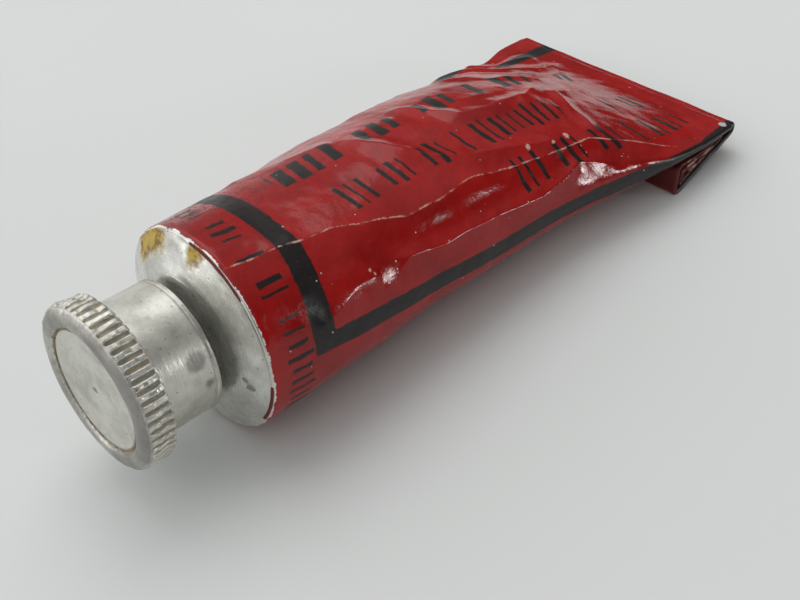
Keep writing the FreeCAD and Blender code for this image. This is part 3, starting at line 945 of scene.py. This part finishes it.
def shoulder_extra(s, place, colour):
    """Yellow-brown glue, dark specks with painted shade at the neck's foot, and red lacquer left on the lip.
    """
    rough = s.swing(place, 1.2, 6, 0.75, 1.5)
    glue = s.step(s.math("ADD", s.mark("glue"), rough), 0.30, 0.85)
    deep = s.step(s.noise(place, 1.0, 4, 0.7), 0.45, 0.62)
    dark = s.step(s.math("ADD", s.mark("grime"), rough), 0.35, 0.7)
    paint = s.step(s.math("ADD", s.mark("paint"), rough), 0.5, 0.62)
    colour = s.mix(glue, colour, s.mix(deep, GLUE, OLD_GLUE))
    # The grime mark darkens the specks, and the neck's foot as painted shade.
    colour = s.mix(s.math("MULTIPLY", dark, 0.75), colour, SPECK_AND_SHADE)
    colour = s.mix(paint, colour, LIP_RED)
    return colour, s.most(glue, dark, paint), s.math("ADD", glue, paint)


def cap_extra(s, place, colour):
    """Brown dirt in the grooves and seams, and dark tarnish on the skirt and the bead, with painted shade on
    the near side of the disc's edge and the bead.
    """
    rough = s.swing(place, 2.4, 6, 0.75, 1.1)
    grime = s.step(s.math("ADD", s.mark("grime"), rough), 0.30, 0.85)
    seam = s.step(s.math("ADD", s.mark("seam"), rough), 0.30, 0.8)
    spot = s.step(s.math("ADD", s.mark("spot"), s.math("MULTIPLY", rough, 0.5)), 0.14, 0.62)
    warm = s.step(s.noise(place, 1.3, 3, 0.6), 0.45, 0.6)
    # This tone is tarnish, and painted shade on the near side of the bead's face.
    colour = s.mix(s.math("MULTIPLY", spot, 0.7), colour, TARNISH_AND_SHADE)
    colour = s.mix(s.math("MULTIPLY", seam, 0.8), colour, SEAM_GREY)
    # The brown is dirt, and painted shadow on the near side of the disc's edge.
    brown = s.mix(warm, DARK_BROWN, RUSTY_BROWN)
    dirty = s.math("MULTIPLY", grime, 0.8)
    return s.mix(dirty, colour, brown), dirty, s.math("MULTIPLY", grime, 0.4)


def plain(name, base, dark, roughness, metallic, grain, depth):
    """A material for the hidden pieces: two tones mottled together over a grained surface."""
    s = Shader(name)
    place = s.position()
    tone = s.noise(place, 0.7, 5, 0.65)
    s.feed(s.bsdf.inputs["Base Color"], s.mix(s.step(tone, 0.35, 0.7), dark, base))
    s.bsdf.inputs["Metallic"].default_value = metallic
    s.feed(s.bsdf.inputs["Roughness"], s.blend(tone, roughness - 0.08, roughness + 0.12))
    s.feed(s.bsdf.inputs["Normal"], s.bump(s.noise(place, grain, 5, 0.6), depth))
    return s


def make_floor():
    """A plain pale table, wide enough that its edge is far off."""
    size, steps = 5.0, 60
    line = np.linspace(-size / 2, size / 2, steps)
    x, y = np.meshgrid(line, line, indexing="ij")
    floor = grid_mesh("table", np.stack([x, y, x * 0], -1), wrap=False)
    s = Shader("table")
    place = s.position()
    tone = s.noise(place, 0.012, 4, 0.5)
    s.feed(s.bsdf.inputs["Base Color"], s.mix(tone, (0.62, 0.63, 0.625), (0.675, 0.685, 0.68)))
    s.bsdf.inputs["Roughness"].default_value = 0.8
    s.bsdf.inputs["Specular IOR Level"].default_value = 0.2
    s.feed(s.bsdf.inputs["Normal"], s.bump(s.noise(place, 0.5, 4, 0.6), 0.01))
    s.give(floor)


# Soft bright regions of the room: towards, cosine where it begins, cosine where it is full, strength
SKY = [
    ((0, -0.25, 1), 0.12, 0.95, 0.56),
    ((0.40, -0.9, 0.15), 0.35, 1.0, 1.05),
    ((1, 0.15, 0.4), 0.4, 1.0, 0.66),
]
DIM = 0.01                # strength of the rest of the room


def make_light():
    """A dim room with three soft bright regions, and four softboxes aimed at the tube."""
    world = bpy.data.worlds.new("studio")
    bpy.context.scene.world = world
    world.use_nodes = True
    nodes, links = world.node_tree.nodes, world.node_tree.links
    coordinates = nodes.new("ShaderNodeTexCoord").outputs["Generated"]
    background = nodes["Background"]
    total = None
    for direction, low, high, power in SKY:
        toward = nodes.new("ShaderNodeVectorMath")
        toward.operation = "DOT_PRODUCT"
        toward.inputs[1].default_value = Vector(direction).normalized()
        links.new(coordinates, toward.inputs[0])
        ramp = nodes.new("ShaderNodeMapRange")
        ramp.interpolation_type = "SMOOTHSTEP"
        for socket, value in zip(list(ramp.inputs)[1:5], (low, high, 0.0, power)):
            socket.default_value = value
        links.new(toward.outputs["Value"], ramp.inputs[0])
        added = nodes.new("ShaderNodeMath")
        links.new(ramp.outputs[0], added.inputs[0])
        if total is None:
            added.inputs[1].default_value = DIM
        else:
            links.new(total, added.inputs[1])
        total = added.outputs[0]
    background.inputs["Color"].default_value = (0.98, 1.0, 0.99, 1)
    links.new(total, background.inputs["Strength"])

    def softbox(name, at, size, power, mirrored=True):
        data = bpy.data.lights.new(name, "AREA")
        data.size = size
        data.energy = power
        lamp = bpy.data.objects.new(name, data)
        lamp.location = at
        lamp.rotation_euler = (-Vector(at)).to_track_quat("-Z", "Y").to_euler()
        lamp.visible_glossy = mirrored
        bpy.context.scene.collection.objects.link(lamp)

    # Two lamps share the light of the window, and only one is mirrored, so the highlights stay modest.
    softbox("window", (-0.16, -0.22, 0.545), 0.42, 0.75, mirrored=False)
    softbox("window_glint", (-0.155, -0.213, 0.528), 0.42, 0.70)
    softbox("side_window", (0.70, -0.62, 0.13), 0.22, 0.30)
    softbox("far_window", (-0.59, 0.80, 0.17), 0.10, 1.4)


# The camera in the row frame: metres from the rim, and which way is right and forward in its view
CAMERA_FROM_RIM = Vector((0.02826, 0.05581, 0.06049))
VIEW_RIGHT = Vector((-0.69513, 0.71589, -0.06553)).normalized()
VIEW_FORWARD = Vector((-0.47808, -0.52845, -0.70156))


def make_camera():
    right = VIEW_RIGHT
    forward = (VIEW_FORWARD - right * VIEW_FORWARD.dot(right)).normalized()
    data = bpy.data.cameras.new("photo_view")
    data.lens = 45.65
    data.clip_start = 0.005
    camera = bpy.data.objects.new("photo_view", data)
    turn = Matrix((right, right.cross(forward), -forward)).transposed().to_4x4()
    camera.matrix_world = Matrix.Translation(RIM + CAMERA_FROM_RIM) @ turn
    bpy.context.scene.collection.objects.link(camera)
    bpy.context.scene.camera = camera


sleeve_skin = lacquer("sleeve_lacquer", rim_mask, printed, crack_mask, sleeve_grime)
sleeve_skin.give(make_sleeve())
fold_skin = lacquer("fold_lacquer", fold_bare, fold_ink, fold_worn, fold_painted_shade)
fold_skin.give(make_fold())
cone_metal = bare_metal("shoulder_metal", base=(0.74, 0.73, 0.69), dull=(0.52, 0.51, 0.47), grooves=7.0,
                        polish=0.26, extra=shoulder_extra)
cone_metal.give(make_shoulder())
cap_metal = bare_metal("cap_metal", base=(0.66, 0.645, 0.59), dull=(0.47, 0.46, 0.41), grooves=4.0,
                       polish=0.38, extra=cap_extra)
cap_metal.give(make_cap())

# Pieces that stay as they are in CAD: node, material, light and dark tone, roughness, metallic, grain, depth
for node, *look in (
        ("nozzle", "nozzle_metal", METAL, (0.5, 0.49, 0.46), 0.38, 1.0, 3.0, 0.02),
        ("cap_thread_insert", "insert_metal", (0.70, 0.69, 0.66), (0.45, 0.44, 0.40), 0.42, 1.0, 3.0, 0.02),
        ("cap_seal_disc", "waxed_card", (0.55, 0.43, 0.27), (0.36, 0.26, 0.14), 0.6, 0.0, 4.0, 0.05),
        ("paste", "dried_paste", (0.60, 0.52, 0.34), (0.42, 0.33, 0.18), 0.45, 0.0, 1.5, 0.12)):
    plain(*look).give(frame["nodes"][node])

make_floor()
make_light()
make_camera()
bpy.context.scene.view_settings.view_transform = "Standard"
